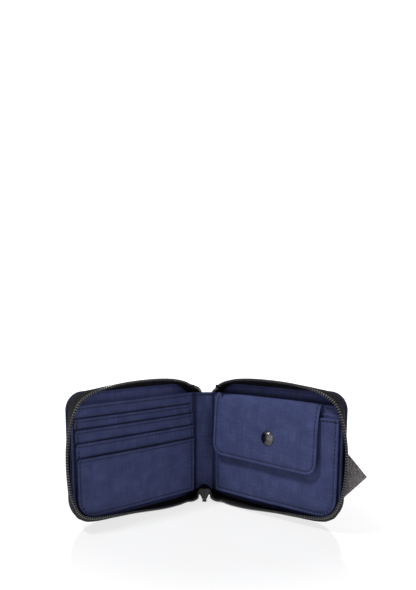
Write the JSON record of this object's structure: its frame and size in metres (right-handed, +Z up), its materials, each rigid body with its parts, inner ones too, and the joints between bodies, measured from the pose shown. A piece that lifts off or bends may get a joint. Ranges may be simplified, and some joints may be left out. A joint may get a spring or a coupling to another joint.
{
  "type": "zip around wallet",
  "caption": "Compact fabric wallet that closes with a zip round three sides, open like a book: card slots left, coin pocket with snap flap right, bill compartment behind.",
  "frame": {"origin": "on the surface the open wallet stands on, below the middle of its bounding box", "axes": "+X to the side that holds the coin pocket, +Y away from the viewer who looks into the open wallet, +Z up along the spine"},
  "size_m": [0.2042, 0.1042, 0.1017],
  "materials": {
    "cover_fabric": "navy woven polyester, matt",
    "lining_fabric": "dark navy plain weave lining",
    "inner_fabric": "navy plain weave with a slight sheen, tone on tone stitching",
    "stiffener_board": "raw board, never seen",
    "zip_tape": "black woven tape",
    "zip_teeth": "black moulded nylon with a soft gloss",
    "zip_metal": "gunmetal plating, glossy where worn",
    "snap_metal": "polished gunmetal plating",
    "grained_leather": "black grained leather with painted edges"
  },
  "bodies": {
    "spine": {"spine_cover": "cover_fabric", "spine_lining": "lining_fabric", "spine_panel": "inner_fabric", "zip_chain_end": "zip_teeth", "zip_bottom_stop": "zip_metal"},
    "left_half": {"cover_left": "cover_fabric", "board_left": "stiffener_board", "lining_left": "lining_fabric", "panel_left": "inner_fabric", "card_pocket_1": "inner_fabric", "card_pocket_2": "inner_fabric", "card_pocket_3": "inner_fabric", "card_pocket_4": "inner_fabric", "zip_tape_left": "zip_tape", "zip_teeth_left": "zip_teeth", "zip_top_stop_left": "zip_metal"},
    "right_half": {"cover_right": "cover_fabric", "board_right": "stiffener_board", "lining_right": "lining_fabric", "panel_right": "inner_fabric", "coin_pocket_back": "inner_fabric", "coin_pocket_gusset": "inner_fabric", "coin_pocket_front": "inner_fabric", "flap_seam": "inner_fabric", "snap_stud": "snap_metal", "snap_post": "snap_metal", "grip_tab": "grained_leather", "zip_tape_right": "zip_tape", "zip_teeth_right": "zip_teeth", "zip_top_stop_right": "zip_metal"},
    "coin_flap_body": {"coin_flap": "inner_fabric", "coin_flap_lining": "inner_fabric", "snap_cap": "snap_metal", "snap_socket": "snap_metal"},
    "slider": {"zip_slider": "zip_metal"},
    "puller": {"zip_puller": "zip_metal"}
  },
  "joints": [
    {"name": "left_fold", "type": "hinge", "parent": "spine", "child": "left_half", "pos_m": [-0.01458, 0.03836, 0.04799], "axis": [0, 0, -1], "range_deg": [-46.5, 43.5]},
    {"name": "right_fold", "type": "hinge", "parent": "spine", "child": "right_half", "pos_m": [0.00242, 0.03836, 0.04799], "axis": [0, 0, 1], "range_deg": [-46.5, 43.5]},
    {"name": "coin_flap_fold", "type": "hinge", "parent": "right_half", "child": "coin_flap_body", "pos_m": [0.0393, 0.0006, 0.08709], "axis": [-0.7254, 0.6884, 0], "range_deg": [0, 100]},
    {"name": "slider_travel", "type": "slide", "parent": "spine", "child": "slider", "axis": [0, 0.3746, 0.9272], "range_m": [0, 0.004]},
    {"name": "puller_swing", "type": "hinge", "parent": "slider", "child": "puller", "pos_m": [-0.00608, 0.03255, 0.00614], "axis": [1, 0, 0], "range_deg": [-95, 5]}
  ]
}
